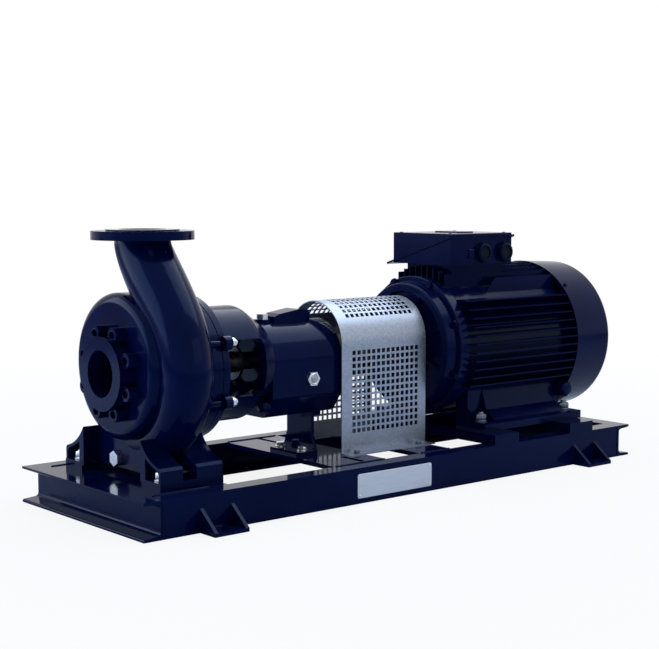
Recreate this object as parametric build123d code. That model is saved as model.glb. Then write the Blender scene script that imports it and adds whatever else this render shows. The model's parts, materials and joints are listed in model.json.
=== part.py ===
from build123d import *
from math import cos, sin, radians, degrees
import os

os.makedirs("parts", exist_ok=True)

# Axes: X along the shaft from the suction flange to the motor fan, Z up, Y across.
# Origin: centre of the base frame's footprint, on the floor. All sizes in millimetres.

# Base frame of channel sections
FRAME_L = 1490.0
FRAME_W = 496.0
CHANNEL_H = 80.0
CHANNEL_B = 45.0
CHANNEL_WEB = 6.0
CHANNEL_FLANGE = 8.0
CHANNEL_TAPER = 0.08
CHANNEL_ROOT_R = 8.0
CHANNEL_TIP_R = 4.0
PLATE_T = 10.0
CASING_PLATE_X1 = -510.0
COUPLING_PLATE = (-220.0, -68.0)
GUARD_PLATE = (39.0, 138.0)
SLOT_X = -128.0
SLOT_Y = 161.0
SLOT_L = 86.0
SLOT_W = 14.0
MOTOR_BARS = ((243.0, 326.0), (514.0, 600.0))
MOTOR_BAR_H = 25.0

# Shaft line and the two flanges of the pump
SHAFT_Z = CHANNEL_H + 225.0
SUCTION_X = -691.0
DISCHARGE_X = -582.0
DISCHARGE_Z = 606.0
BORE_R = 50.0
FLANGE_R = 110.0
FLANGE_T = 22.0
FACE_R = 79.0
FACE_T = 3.0
BOLT_PCD = 180.0
BOLT_COUNT = 8
BOLT_HOLE_R = 9.0
BOLT_START = 22.5

# Running clearance on the radius where a shaft passes a cover
RUN = 0.05


def save(shape, node):
    """Write one named piece."""
    shape.label = node
    export_step(shape, "parts/" + node + ".step")


def box(x0, x1, y0, y1, z0, z1):
    """Block between two corners."""
    return Pos((x0 + x1) / 2, (y0 + y1) / 2, (z0 + z1) / 2) * Box(x1 - x0, abs(y1 - y0), z1 - z0)


def rod(radius, x0, x1, y=0.0, z=SHAFT_Z):
    """Round bar along X."""
    return Pos((x0 + x1) / 2, y, z) * Rot(0, 90, 0) * Cylinder(radius, x1 - x0)


def post(radius, x, y, z0, z1):
    """Round bar along Z."""
    return Pos(x, y, (z0 + z1) / 2) * Cylinder(radius, z1 - z0)


def softened(face, points, radius):
    """Flat face with its corners at the given points rounded."""
    corners = face.vertices().filter_by(
        lambda v: any(abs(v.X - p[0]) < 0.01 and abs(v.Y - p[1]) < 0.01 for p in points))
    return fillet(corners, radius)


def turned(points, rounds=()):
    """Solid of revolution about the shaft line from (x, radius) points.

    rounds lists (index of a point, corner radius).
    """
    outline = [(x, SHAFT_Z + r) for x, r in points]
    face = make_face(Polyline(*outline, close=True))
    for index, radius in rounds:
        face = softened(face, [outline[index]], radius)
    return revolve(Plane.XZ * face, Axis((0, 0, SHAFT_Z), (1, 0, 0)))


def along_x(face, x0, x1):
    """Section drawn in (y, z) and carried from x0 to x1."""
    return Pos(x0, 0, 0) * extrude(Plane.YZ * face, x1 - x0)


def about_shaft(shape, angle):
    """Shape turned by an angle about the shaft line."""
    return Pos(0, 0, SHAFT_Z) * Rot(angle, 0, 0) * Pos(0, 0, -SHAFT_Z) * shape


def ring_places(radius, count, start):
    """Offsets (y, z) of points evenly round the shaft line."""
    angles = [radians(start + 360.0 * k / count) for k in range(count)]
    return [(radius * cos(a), SHAFT_Z + radius * sin(a)) for a in angles]


def channel_face():
    """Channel section: web on the left at x = 0, flanges to +x, resting on y = 0."""
    b, h, w = CHANNEL_B, CHANNEL_H, CHANNEL_WEB
    root = CHANNEL_FLANGE + CHANNEL_TAPER * (b / 2 - w)
    tip = CHANNEL_FLANGE - CHANNEL_TAPER * b / 2
    face = make_face(Polyline((0, 0), (b, 0), (b, tip), (w, root), (w, h - root), (b, h - tip),
                              (b, h), (0, h), close=True))
    face = softened(face, [(w, root), (w, h - root)], CHANNEL_ROOT_R)
    return softened(face, [(b, tip), (b, h - tip)], CHANNEL_TIP_R)


def channel(length):
    """Channel along local Z, centred, web at local x = 0, base at local y = 0."""
    return Pos(0, 0, -length / 2) * extrude(channel_face(), length)


def rail(side):
    """Long side rail: web outside, flanges turned in."""
    length = FRAME_L - 2 * CHANNEL_B
    turn = Plane(origin=(0, side * FRAME_W / 2, 0), x_dir=(0, -side, 0), z_dir=(-side, 0, 0))
    return turn.location * channel(length)


def end_channel(side):
    """Cross channel at an end of the frame: flanges turned outwards."""
    x_web = side * (FRAME_L / 2 - CHANNEL_B)
    turn = Plane(origin=(x_web, 0, 0), x_dir=(side, 0, 0), z_dir=(0, -side, 0))
    return turn.location * channel(FRAME_W)


def cross_channel(x_web):
    """Cross channel between the rails with its flanges turned to -X."""
    turn = Plane(origin=(x_web, 0, 0), x_dir=(-1, 0, 0), z_dir=(0, 1, 0))
    return turn.location * channel(FRAME_W - 2 * CHANNEL_B)


def frame_plate(x0, x1):
    """Plate between the rails' flanges, flush with their tops."""
    y = FRAME_W / 2 - CHANNEL_B
    return box(x0, x1, -y, y, CHANNEL_H - PLATE_T, CHANNEL_H)


def slotted_plate():
    """Plate under the bearing housing, with a long adjusting slot on each side."""
    plate = frame_plate(*COUPLING_PLATE)
    slot = extrude(SlotOverall(SLOT_L, SLOT_W, rotation=90), 2 * PLATE_T, both=True)
    return plate - [Pos(SLOT_X, side * SLOT_Y, CHANNEL_H) * slot for side in (-1, 1)]


def motor_bar(x0, x1):
    """Raised cross bar that a pair of motor feet stands on."""
    y = FRAME_W / 2
    return box(x0, x1, -y, y, CHANNEL_H, CHANNEL_H + MOTOR_BAR_H)


# Anchor feet
BRACKET_X = 569.0
BRACKET_OUT = 52.0
BRACKET_W = 85.0
BRACKET_T = 8.0
BRACKET_RIB_T = 8.0
BRACKET_RIB_H = 50.0
BRACKET_HOLE_R = 9.0


def foot_bracket(end, side):
    """Anchor foot: a plate on the floor outside the rail with two sloped ribs."""
    xc, yw = end * BRACKET_X, side * FRAME_W / 2
    y_out = yw + side * BRACKET_OUT
    plate = box(xc - BRACKET_W / 2, xc + BRACKET_W / 2, yw, y_out, 0, BRACKET_T)
    outline = Polyline((yw, BRACKET_T), (y_out, BRACKET_T), (yw, BRACKET_RIB_H), close=True)
    rib = extrude(Plane.YZ * make_face(outline), BRACKET_RIB_T / 2, both=True)
    reach = (BRACKET_W - BRACKET_RIB_T) / 2
    plate += [Pos(xc + dx, 0, 0) * rib for dx in (-reach, reach)]
    return plate - post(BRACKET_HOLE_R, xc, yw + side * BRACKET_OUT / 2, -1, BRACKET_T + 1)


# Volute casing
WALL = 9.0
SPIRAL_STEPS = 13
SPIRAL_START = 80.0
SPIRAL_TURN = 260.0
SPIRAL_RHO = (134.0, 162.0)
SPIRAL_R = (26.0, 57.0)
# Middle line and radius of the neck from the end of the spiral to the discharge flange
NECK = ((-156, 346, 58), (-130, 405, 59), (-94, 450, 61), (-59, 490, 62), (-26, 530, 61), (-5, 562, 60))
CASING_BACK_X = -520.0
RIM_T = 14.0
RIM_R = 172.0
DOME_R = 157.0
DOME_ROUND = 21.0
DOME_Y = 8.5
DOME_Z = SHAFT_Z + 11.0
CHAMBER_R = 128.0
FRONT_X = -655.0
FRONT_WALL = 16.0
NOZZLE_R = 76.0
BOSS_R = 16.0
BOSS_X = -682.0
DRAIN = (30.0, 116.0)
DRAIN_R = 8.0
DRAIN_HEAD_X = -629.0


def blend(ends, t):
    """Value between two ends."""
    return ends[0] + (ends[1] - ends[0]) * t


def volute_tube(shrink, top):
    """The passage round the shaft and up to the discharge at height top, as one loft.

    Its centre winds outwards and its radius grows as the spiral turns.
    """
    places = []
    for k in range(SPIRAL_STEPS):
        t = k / (SPIRAL_STEPS - 1)
        a = radians(SPIRAL_START - SPIRAL_TURN * t)
        rho = blend(SPIRAL_RHO, t)
        places.append((rho * cos(a), SHAFT_Z + rho * sin(a), blend(SPIRAL_R, t)))
    places += [*NECK, (0, top, BORE_R + WALL)]
    points = [Vector(DISCHARGE_X, y, z) for y, z, r in places]
    last = len(points) - 1
    rings = []
    for k, place in enumerate(places):
        direction = points[min(k + 1, last)] - points[max(k - 1, 0)]
        if k == last:
            direction = Vector(0, 0, 1)
        ring = Plane(origin=points[k], x_dir=(1, 0, 0), z_dir=direction.normalized())
        rings.append(ring * Circle(place[2] - shrink))
    return loft(rings)


def casing_shell():
    """Suction nozzle, domed chamber set a little above the shaft line, and the rim that the cover bolts to."""
    back, rim = CASING_BACK_X, CASING_BACK_X - RIM_T
    dome = turned([(FRONT_X, 0), (FRONT_X, DOME_R), (rim + 2, DOME_R), (rim + 2, 0)], [(1, DOME_ROUND)])
    nozzle = rod(NOZZLE_R, SUCTION_X + FACE_T, FRONT_X + 2)
    ring = turned([(rim, 0), (rim, RIM_R), (back, RIM_R), (back, 0)], [(1, 3.0)])
    return nozzle + [Pos(0, DOME_Y, DOME_Z - SHAFT_Z) * dome, ring]


def volute_casing():
    """Spiral casing with suction and discharge flanges and two cast feet, hollow inside."""
    flange = DISCHARGE_Z - FLANGE_T
    places = ring_places(BOLT_PCD / 2, BOLT_COUNT, BOLT_START)
    body = casing_shell()
    body += [volute_tube(0.0, flange + 8),
             rod(FACE_R, SUCTION_X, SUCTION_X + FACE_T),
             post(FLANGE_R, DISCHARGE_X, 0, flange, DISCHARGE_Z - FACE_T),
             post(FACE_R, DISCHARGE_X, 0, DISCHARGE_Z - FACE_T, DISCHARGE_Z)]
    body += [rod(BOSS_R, BOSS_X, FRONT_X + 4, y, z) for y, z in places]
    body += casing_feet()
    body -= volute_tube(WALL, DISCHARGE_Z + 1)
    body -= [rod(CHAMBER_R, FRONT_X + FRONT_WALL, CASING_BACK_X + 1),
             rod(BORE_R, SUCTION_X - 1, FRONT_X + FRONT_WALL + 1)]
    holes = [rod(BOLT_HOLE_R, BOSS_X - 1, FRONT_X - 6, y, z) for y, z in places]
    for y, z in places:
        holes.append(post(BOLT_HOLE_R, DISCHARGE_X + y, z - SHAFT_Z, flange - 1, DISCHARGE_Z))
    return body - holes


# Cast feet of the casing
FOOT_X = (-668.0, -512.0)
FOOT_Y = 190.0
FOOT_INNER_Y = 120.0
FOOT_T = 18.0
FOOT_SIDE_Z = 122.0
FOOT_BOLT_Y = 160.0
FOOT_BOLT_X = (-646.0, -545.0)
FOOT_HOLE_R = 9.0
FOOT_WEB_T = 16.0
FOOT_WEBS = (-612.0, -578.0)
FOOT_ARCH_Z = CHANNEL_H + 16.0
FLANK = ((184.0, 128.0), (134.0, 153.0), (102.0, 205.0))
POCKET_WALL = 6.0


def flank(side):
    """Concave top edge of a foot, from its outer corner up to the casing."""
    return ThreePointArc(*[(side * y, z) for y, z in FLANK])


def foot_face():
    """Section of both feet and the web between them, seen along the shaft."""
    y, z = FOOT_Y - 1, CHANNEL_H + 1
    (y_low, z_low), _, (y_top, z_top) = FLANK
    arch = Polyline((-y_low, z_low), (-y, FOOT_SIDE_Z), (-y, z), (-FOOT_INNER_Y - 10, z),
                    (-FOOT_INNER_Y + 10, FOOT_ARCH_Z), (FOOT_INNER_Y - 10, FOOT_ARCH_Z),
                    (FOOT_INNER_Y + 10, z), (y, z), (y, FOOT_SIDE_Z), (y_low, z_low))
    return make_face(flank(1) + Line((y_top, z_top), (-y_top, z_top)) + flank(-1) + arch)


def foot_wall(x_web, x_end):
    """One cross wall: thin between the feet, reaching to x_end at them, with an open pocket round each bolt."""
    way = 1 if x_end > x_web else -1
    x_face = x_web + way * FOOT_WEB_T
    wall = along_x(foot_face(), *sorted((x_web, x_end)))
    x0, x1 = sorted((x_face, x_end + way))
    wall -= box(x0, x1, POCKET_WALL - FOOT_INNER_Y, FOOT_INNER_Y - POCKET_WALL, 0, DISCHARGE_Z)
    for side in (-1, 1):
        y_in, y_out = FOOT_INNER_Y + 2 * POCKET_WALL, FOOT_Y - POCKET_WALL - 2
        z_floor = CHANNEL_H + FOOT_T
        roof = Polyline((side * y_in, z_floor), (side * y_out, z_floor), (side * y_out, 117), (side * 174, 123),
                        (side * 150, 133), (side * y_in, 142), close=True)
        wall -= along_x(make_face(roof), x0, x1)
    return wall


def casing_feet():
    """Two feet joined to the casing by a front and a rear wall."""
    feet = foot_wall(FOOT_WEBS[0], FOOT_X[0] + 1) + foot_wall(FOOT_WEBS[1], FOOT_X[1] - 1)
    for side in (-1, 1):
        pad = box(*FOOT_X, side * FOOT_INNER_Y, side * FOOT_Y, CHANNEL_H, CHANNEL_H + FOOT_T)
        pad -= [post(FOOT_HOLE_R, x, side * FOOT_BOLT_Y, CHANNEL_H - 1, CHANNEL_H + FOOT_T + 1) for x in FOOT_BOLT_X]
        feet += pad
    return feet - rod(DRAIN_R, DRAIN_HEAD_X - 10, FOOT_WEBS[0] - 6, *DRAIN)


# Pump back end
COVER_X = (CASING_BACK_X, -485.0)
COVER_R = 158.0
SPIGOT = 12.0
FIT = 0.3
PUMP_SHAFT_R = 20.0
BRACKET_FLANGE_T = 18.0
BRACKET_BODY_R = 128.0
BRACKET_WALL = 20.0
STUD_R = 165.0
STUD_ANGLE = 22.5
STUD_HOLE_R = 6.5
LUG_R = 15.0
WINDOW_X = (-450.0, -345.0)
WINDOW_Z = 62.0
HOUSING = (-300.0, -100.0)
HOUSING_R = 85.0
HOUSING_LOW = 178.0
HOUSING_BORE_R = 60.0
FILLER_X = -265.0
FILLER_BASE = (19.0, 6.0)
SIGHT = (-190.0, 262.0)
PLUG_R = 8.0
LUG_TOP = ((-248.0, -146.0), 24.0, 416.0)


def casing_cover():
    """Cover behind the impeller, seated in the casing's back rim."""
    front, back = COVER_X
    body = turned([(front - SPIGOT, 0), (front - SPIGOT, CHAMBER_R - FIT), (front, CHAMBER_R - FIT),
                   (front, COVER_R), (back, COVER_R), (back, 0)], [(4, 3.0)])
    return body - rod(PUMP_SHAFT_R + RUN, front - SPIGOT - 1, back + 1)


def stud_angles():
    """Angles of the four studs that draw the bearing bracket to the casing."""
    return [STUD_ANGLE, 180 - STUD_ANGLE, 180 + STUD_ANGLE, -STUD_ANGLE]


def bearing_bracket():
    """Lantern between casing cover and bearing housing, open at both sides."""
    front = COVER_X[1]
    back, end, r = front + BRACKET_FLANGE_T, HOUSING[0], BRACKET_BODY_R
    body = turned([(front, 60), (front, COVER_R), (back, COVER_R), (back, r), (end - 55, r), (end, 92), (end, 60)],
                  [(2, 3.0), (3, 8.0), (4, 18.0)])
    inner = r - BRACKET_WALL
    body -= turned([(front - 1, 0), (front - 1, inner), (end - 65, inner), (end - 18, 70), (end - 18, 0)], [(2, 12.0)])
    window = extrude(RectangleRounded(WINDOW_X[1] - WINDOW_X[0], 2 * WINDOW_Z, 16), 2 * COVER_R, both=True)
    body -= Pos(sum(WINDOW_X) / 2, 0, SHAFT_Z) * Rot(90, 0, 0) * window
    spots = [(STUD_R * cos(radians(a)), SHAFT_Z + STUD_R * sin(radians(a))) for a in stud_angles()]
    body += [rod(LUG_R, front, back, y, z) for y, z in spots]
    return body - [rod(STUD_HOLE_R, front - 1, back + 1, y, z) for y, z in spots]


def housing_face():
    """Section of the bearing housing: round top, straight sides and a chamfered sump."""
    r, low = HOUSING_R, HOUSING_LOW
    sump = Polyline((-r, SHAFT_Z), (-r, low + 46), (-r + 32, low), (r - 32, low), (r, low + 46), (r, SHAFT_Z))
    face = make_face(sump + ThreePointArc((r, SHAFT_Z), (0, SHAFT_Z + r), (-r, SHAFT_Z)))
    return softened(face, [(-r, low + 46), (-r + 32, low), (r - 32, low), (r, low + 46)], 14.0)


def bearing_housing():
    """Oil-filled bearing housing with a filler boss and a lifting lug along its top."""
    body = along_x(housing_face(), *HOUSING)
    body += post(FILLER_BASE[0], FILLER_X, 0, SHAFT_Z, SHAFT_Z + HOUSING_R + FILLER_BASE[1])
    (x0, x1), half, top = LUG_TOP
    side = Polyline((x0, SHAFT_Z), (x0, SHAFT_Z + HOUSING_R + 12), (x0 + 16, top - 8), (x1 - 30, top), (x1, top - 4),
                    (x1, SHAFT_Z), close=True)
    body += extrude(Plane.XZ * make_face(side), half, both=True)
    return body - [post(PLUG_R, FILLER_X, 0, SHAFT_Z, SHAFT_Z + HOUSING_R + FILLER_BASE[1] + 1),
                   Pos(SIGHT[0], -HOUSING_R + 10, SIGHT[1]) * Rot(90, 0, 0) * Cylinder(PLUG_R, 30),
                   rod(HOUSING_BORE_R, HOUSING[0] - 1, HOUSING[1] + 1)]


def pump_bearing_cover():
    """Inner bearing cover, closing the housing towards the lantern."""
    x0 = HOUSING[0] - 6
    body = turned([(x0, 0), (x0, 50), (x0 + 6, HOUSING_BORE_R - FIT / 3), (HOUSING[0] + 16, HOUSING_BORE_R - FIT / 3),
                   (HOUSING[0] + 16, 0)])
    return body - rod(PUMP_SHAFT_R + RUN, x0 - 1, HOUSING[0] + 17)


def coupling_bearing_cover():
    """Outer bearing cover at the coupling end, with a flange on the housing's face."""
    x1 = HOUSING[1]
    body = turned([(x1 - 16, 0), (x1 - 16, HOUSING_BORE_R - FIT / 3), (x1, HOUSING_BORE_R - FIT / 3), (x1, 76),
                   (x1 + 6, 76), (x1 + 8, 44), (x1 + 12, 40), (x1 + 12, 0)], [(4, 2.0)])
    return body - rod(PUMP_SHAFT_R + RUN, x1 - 17, x1 + 13)


# Support foot of the bearing housing
LEG_X = (-159.0, -150.0)
LEG_W = 89.0
LEG_FLARE = 13.0
LEG_TOE = 46.0
LEG_BOLT_Y = 41.0
LEG_HOLE_R = 7.0


def support_leg():
    """Plate leg that widens to its base, with a toe on the frame and a seat under the housing."""
    t, w, base = LEG_X[1] - LEG_X[0], LEG_W / 2, LEG_W / 2 + LEG_FLARE
    z0, z1 = CHANNEL_H, HOUSING_LOW
    front = Polyline((-base, z0), (base, z0), (base, z0 + t), (w, z0 + 5 * t), (w, z1), (-w, z1), (-w, z0 + 5 * t),
                     (-base, z0 + t), close=True)
    body = along_x(make_face(front), *LEG_X)
    toe = softened(make_face(Polyline((LEG_X[0] - LEG_TOE, -base), (LEG_X[1], -base), (LEG_X[1], base),
                                      (LEG_X[0] - LEG_TOE, base), close=True)),
                   [(LEG_X[0] - LEG_TOE, -base), (LEG_X[0] - LEG_TOE, base)], 10.0)
    body += Pos(0, 0, z0) * extrude(toe, t)
    body += box(LEG_X[0] - 30, LEG_X[1] + 20, -w, w, z1 - t, z1)
    return body - [post(LEG_HOLE_R, LEG_X[0] - LEG_TOE / 2, side * LEG_BOLT_Y, z0 - 1, z0 + t + 1) for side in (-1, 1)]


def hex_plug(across, height, shank):
    """Hexagon plug along +Z from z = 0 with its shank below."""
    head = extrude(RegularPolygon(across / 2, 6, major_radius=False), height)
    return head + Pos(0, 0, -shank / 2) * Cylinder(PLUG_R, shank)


# Impeller
IMPELLER_X = (-624.0, -540.0)
IMPELLER_R = 105.0
EYE_R = 46.0
SHROUD_X = (-612.0, -604.0)
DISC_T = 9.0
VANES = 3
VANE_T = 9.0
VANE_WRAP = 130.0


def impeller_vane():
    """Curved vane between the eye and the rim: the angle grows evenly with the radius."""
    inner, outer = EYE_R - 4, IMPELLER_R - 2
    faces = []
    for offset in (0.0, VANE_T):
        line = []
        for k in range(7):
            r = blend((inner, outer), k / 6)
            a = radians(VANE_WRAP * k / 6) + offset / r
            line.append((r * cos(a), SHAFT_Z + r * sin(a)))
        faces.append(line)
    near, far = faces
    outline = Spline(*near) + Line(near[-1], far[-1]) + Spline(*far[::-1]) + Line(far[0], near[0])
    return along_x(make_face(outline), SHROUD_X[0] + 2, IMPELLER_X[1] - 2)


def impeller():
    """Closed impeller: back disc with a hub, front shroud with its eye ring, and curved vanes."""
    x0, x1 = IMPELLER_X
    back = x1 - DISC_T
    body = turned([(x1, 0), (x1, IMPELLER_R), (back, IMPELLER_R), (back, 34), (back - 30, 24), (back - 38, 12),
                   (back - 38, 0)], [(3, 8.0)])
    body += turned([(x0, EYE_R), (x0, EYE_R + 9), (SHROUD_X[0], EYE_R + 9), (SHROUD_X[0], IMPELLER_R),
                    (SHROUD_X[1], IMPELLER_R), (SHROUD_X[1], EYE_R)], [(2, 5.0)])
    vane = impeller_vane()
    body += [about_shaft(vane, 360 * k / VANES) for k in range(VANES)]
    return body


# Shafts and claw coupling
PUMP_SHAFT_END = -36.0
SLEEVE_R = 28.0
THROWER_R = 40.0
MOTOR_SHAFT_R = 27.5
MOTOR_SHAFT_X = 42.0
HUB_MID = (PUMP_SHAFT_END + MOTOR_SHAFT_X) / 2
HUB_GAP = 26.0
HUB_R = 42.0
COUPLING_R = 62.0
COUPLING_T = 18.0
PUMP_HUB_X = -79.0
MOTOR_HUB_X = 110.0
CLAWS = 3
CLAW_ANGLE = 46.0
CLAW_R = (34.0, 58.0)
ELEMENT_BORE_R = 22.0
FAN_X = (628.0, 690.0)


def pump_shaft():
    """Stepped shaft: impeller seat, sleeve through the seal, oil thrower and coupling end."""
    r, s = PUMP_SHAFT_R, COVER_X[1] + 12
    return turned([(IMPELLER_X[1], 0), (IMPELLER_X[1], r), (s, r), (s, SLEEVE_R), (s + 90, SLEEVE_R), (s + 90, 24),
                   (s + 120, 24), (s + 120, THROWER_R), (s + 127, THROWER_R), (s + 131, r), (PUMP_SHAFT_END - 2, r),
                   (PUMP_SHAFT_END, r - 2), (PUMP_SHAFT_END, 0)])


def claws(start):
    """Three claws across the gap between the coupling halves, the first at the start angle."""
    x0, x1 = HUB_MID - HUB_GAP / 2, HUB_MID + HUB_GAP / 2
    ring = rod(CLAW_R[1], x0, x1) - rod(CLAW_R[0], x0, x1)
    far, half = 2 * CLAW_R[1], radians(CLAW_ANGLE / 2)
    wedge = make_face(Polyline((0, SHAFT_Z), (far * cos(half), SHAFT_Z - far * sin(half)),
                               (far * cos(half), SHAFT_Z + far * sin(half)), close=True))
    claw = ring & along_x(wedge, x0, x1)
    return [about_shaft(claw, start + 360 / CLAWS * k) for k in range(CLAWS)]


def coupling_hub(end, inner, bore, start):
    """Coupling half from its outer end to the gap, with a collar that carries the claws."""
    way = 1 if end > inner else -1
    collar = inner + way * COUPLING_T
    body = turned([(end, 0), (end, HUB_R), (collar, HUB_R), (collar, COUPLING_R), (inner, COUPLING_R), (inner, 0)],
                  [(1, 3.0), (2, 6.0), (3, 2.0)])
    body += claws(start)
    return body - rod(bore, min(end, inner) - 1, max(end, inner) + 1 if way > 0 else inner + 1)


def coupling_element():
    """Rubber spider that fills the spaces between the claws."""
    x0, x1 = HUB_MID - HUB_GAP / 2, HUB_MID + HUB_GAP / 2
    body = rod(CLAW_R[1], x0, x1) - rod(ELEMENT_BORE_R, x0 - 1, x1 + 1)
    return body - (claws(0) + claws(180 / CLAWS))


def motor_shaft():
    """Motor shaft from the coupling to the fan, with a chamfered end and a seat for the seal."""
    r, end = MOTOR_SHAFT_R, FAN_X[1] - 6
    return turned([(MOTOR_SHAFT_X, 0), (MOTOR_SHAFT_X, r - 3), (MOTOR_SHAFT_X + 3, r), (end, r), (end, 0)])


def cooling_fan():
    """Radial fan: hub, thin back disc and seven straight blades."""
    x0, x1 = FAN_X
    body = turned([(x0, 0), (x0, 130), (x0 + 4, 130), (x0 + 8, 50), (x1 - 6, 44), (x1 - 6, 0)], [(3, 4.0)])
    blade = make_face(Polyline((x0, SHAFT_Z + 40), (x0, SHAFT_Z + 150), (x1 - 24, SHAFT_Z + 150),
                               (x1 - 12, SHAFT_Z + 90), (x1 - 12, SHAFT_Z + 40), close=True))
    blade = extrude(Plane.XZ * blade, 2.5, both=True)
    body += [about_shaft(blade, 360 * k / 7) for k in range(7)]
    return body - rod(MOTOR_SHAFT_R, x0 - 1, x1)


# Coupling guard
GUARD_X = (-111.0, 154.0)
GUARD_R = 99.0
GUARD_ARCH_Z = 332.0
GUARD_T = 2.0
GUARD_FLANGE = 36.0
GUARD_BOLT_X = (-80.0, 115.0)
GUARD_BOLT_Y = 117.0
GUARD_BOLT_R = 5.0
HOLE = 10.0
PITCH = 15.2
HOLE_COLS = 14
HOLE_ROWS = 13
HOLE_X0 = -74.0
HOLE_Z0 = 131.0
TOP_ROWS = 12


def guard_face():
    """Inverted U of sheet with its edges turned out as feet."""
    r, t, z0, zc, out = GUARD_R, GUARD_T, CHANNEL_H, GUARD_ARCH_Z, GUARD_R + GUARD_FLANGE
    outer = ThreePointArc((-r, zc), (0, zc + r), (r, zc))
    inner = ThreePointArc((r - t, zc), (0, zc + r - t), (t - r, zc))
    right = Polyline((r, zc), (r, z0 + t), (out, z0 + t), (out, z0), (r - t, z0), (r - t, zc))
    left = Polyline((t - r, zc), (t - r, z0), (-out, z0), (-out, z0 + t), (-r, z0 + t), (-r, zc))
    return make_face(outer + right + inner + left)


def coupling_guard():
    """Guard over the coupling, perforated with square holes on both sides and over the arch."""
    body = along_x(guard_face(), *GUARD_X)
    xs = [HOLE_X0 + PITCH * k for k in range(HOLE_COLS)]
    step = degrees(PITCH / GUARD_R)
    across = [Pos(x, 0, HOLE_Z0 + PITCH * j) * Box(HOLE, 3 * GUARD_R, HOLE) for x in xs for j in range(HOLE_ROWS)]
    arch = []
    for j in range(TOP_ROWS):
        turn = Rot((j - (TOP_ROWS - 1) / 2) * step, 0, 0)
        arch += [Pos(x, 0, GUARD_ARCH_Z) * turn * Pos(0, 0, GUARD_R) * Box(HOLE, HOLE, 20) for x in xs]
    bolts = [post(GUARD_BOLT_R, x, side * GUARD_BOLT_Y, CHANNEL_H - 1, CHANNEL_H + GUARD_T + 1)
             for x in GUARD_BOLT_X for side in (-1, 1)]
    body -= across
    body -= arch
    return body - bolts


# Motor
SHIELD_X = 172.0
CAP_X = 152.0
BODY_X = (232.0, 612.0)
BODY_R = 168.0
FIN_R = 196.0
FIN_T = 4.0
FIN_PITCH = 20.6
SIDE_FINS = 11
SIDE_FIN_Z = SHAFT_Z + 13.0
TOP_FINS = 9
COWL_X = (598.0, 735.0)
COWL_R = 197.5
COWL_T = 2.5
COWL_TAPER = 6.0
COWL_ROUND = 16.0
MOTOR_BOLT_X = (284.0, 589.0)
MOTOR_BOLT_Y = 159.0
MOTOR_HOLE_R = 9.5
MOTOR_FOOT = (262.0, 612.0)
MOTOR_FOOT_Y = (96.0, 198.0)
MOTOR_FOOT_T = 20.0
MOTOR_FOOT_SEAT = 0.05
MOTOR_POCKET = 27.0
SHIELD_RIBS = 8


def fin_reach(offset):
    """Half chord of the fins' outer circle at an offset from the shaft."""
    return (FIN_R ** 2 - offset ** 2) ** 0.5


def stator_face():
    """Section of the stator frame: a round barrel with level fins at the sides and upright fins on top."""
    tip, root = FIN_T * 0.4, FIN_T * 0.65
    face = Pos(0, SHAFT_Z) * Circle(BODY_R)
    fins = []
    for k in range(SIDE_FINS):
        z = SIDE_FIN_Z + (k - (SIDE_FINS - 1) / 2) * FIN_PITCH
        y = fin_reach(z - SHAFT_Z)
        fins.append(make_face(Polyline((-y, z - tip), (0, z - root), (y, z - tip), (y, z + tip), (0, z + root),
                                       (-y, z + tip), close=True)))
    for k in range(TOP_FINS):
        y = (k - (TOP_FINS - 1) / 2) * FIN_PITCH
        z = SHAFT_Z + fin_reach(y)
        fins.append(make_face(Polyline((y - root, SHAFT_Z), (y + root, SHAFT_Z), (y + tip, z), (y - tip, z), close=True)))
    return face + fins


def motor_foot(side):
    """Cast foot bolted up under the barrel along one side: level at the bolts, sloped between them."""
    y_in, y_out = MOTOR_FOOT_Y
    z0 = CHANNEL_H + MOTOR_BAR_H
    z1 = z0 + MOTOR_FOOT_T
    points = [(y_in, z0), (y_out, z0), (y_out, z1 - 3), (y_out - 20, z1 + 2), (y_out - 46, z1 + 24), (138, 192),
              (130, 215), (y_in, 215)]
    foot = along_x(make_face(Polyline(*[(side * y, z) for y, z in points], close=True)),
                   MOTOR_FOOT[0], COWL_X[0] - 2)
    foot += box(MOTOR_FOOT[1] - 40, MOTOR_FOOT[1], side * 122, side * y_out, z0, z1)
    for x in MOTOR_BOLT_X:
        foot -= box(x - MOTOR_POCKET, x + MOTOR_POCKET, side * 136, side * (y_out + 1), z1, 230)
        foot -= post(MOTOR_HOLE_R, x, side * MOTOR_BOLT_Y, z0 - 1, z1 + 1)
    return foot - rod(BODY_R + MOTOR_FOOT_SEAT, MOTOR_FOOT[0] - 1, MOTOR_FOOT[1] + 1)


def motor_body():
    """Finned stator frame with the neck that carries the terminal box."""
    body = along_x(stator_face(), BODY_X[0], COWL_X[0] - 0.5)
    body += [rod(BODY_R - 4, COWL_X[0] - 2, BODY_X[1]), box(260, 440, -80, 80, SHAFT_Z + 150, BOX_LOW)]
    return body - rod(MOTOR_SHAFT_R + 6, BODY_X[0] - 1, BODY_X[1] + 1)


def drive_end_shield():
    """End shield with two register rings, radial ribs and the bearing cap round the shaft."""
    x = SHIELD_X
    body = turned([(CAP_X, 0), (CAP_X, 62), (x - 4, 68), (x - 4, 78), (x + 12, 84), (x + 12, 132), (x, 136), (x, 155),
                   (x + 30, 160), (x + 30, 172), (BODY_X[0], 172), (BODY_X[0], 0)],
                  [(1, 4.0), (7, 4.0), (9, 3.0), (10, 3.0)])
    rib = box(x + 1, x + 14, -4, 4, SHAFT_Z + 76, SHAFT_Z + 138)
    body += [about_shaft(rib, 360 / SHIELD_RIBS * (k + 0.5)) for k in range(SHIELD_RIBS)]
    return body - rod(MOTOR_SHAFT_R + RUN, CAP_X - 1, BODY_X[0] + 1)


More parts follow.
